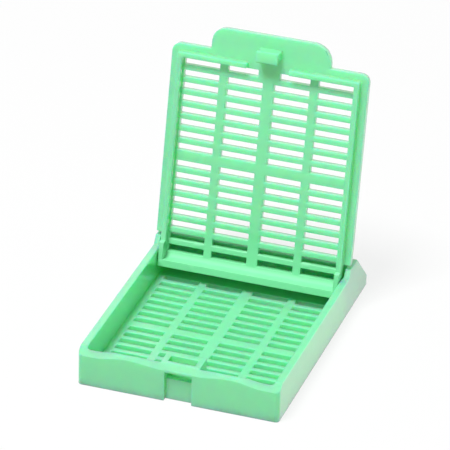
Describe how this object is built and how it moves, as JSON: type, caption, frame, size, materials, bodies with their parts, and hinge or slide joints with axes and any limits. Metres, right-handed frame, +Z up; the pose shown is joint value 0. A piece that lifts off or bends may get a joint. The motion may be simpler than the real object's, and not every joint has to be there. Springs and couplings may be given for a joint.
{
  "type": "tissue cassette",
  "caption": "Slotted plastic cassette for tissue samples: a shallow tray with a sloping writing panel, and a snap lid hinged at its rear, standing open.",
  "frame": {"origin": "middle of the tray's underside, at the height of the surface it stands on", "axes": "+X across the tray, +Y from the front wall to the writing panel, +Z up"},
  "size_m": [0.0288, 0.0406, 0.0376],
  "materials": {
    "tray_plastic": "matte",
    "lid_plastic": "matte"
  },
  "bodies": {
    "tray": {"tray": "tray_plastic"},
    "lid": {"lid": "lid_plastic"}
  },
  "joints": [
    {"name": "lid_hinge", "type": "hinge", "parent": "tray", "child": "lid", "pos_m": [0, 0.01017, 0.00485], "axis": [1, 0, 0], "range_deg": [0, 101.5]}
  ]
}
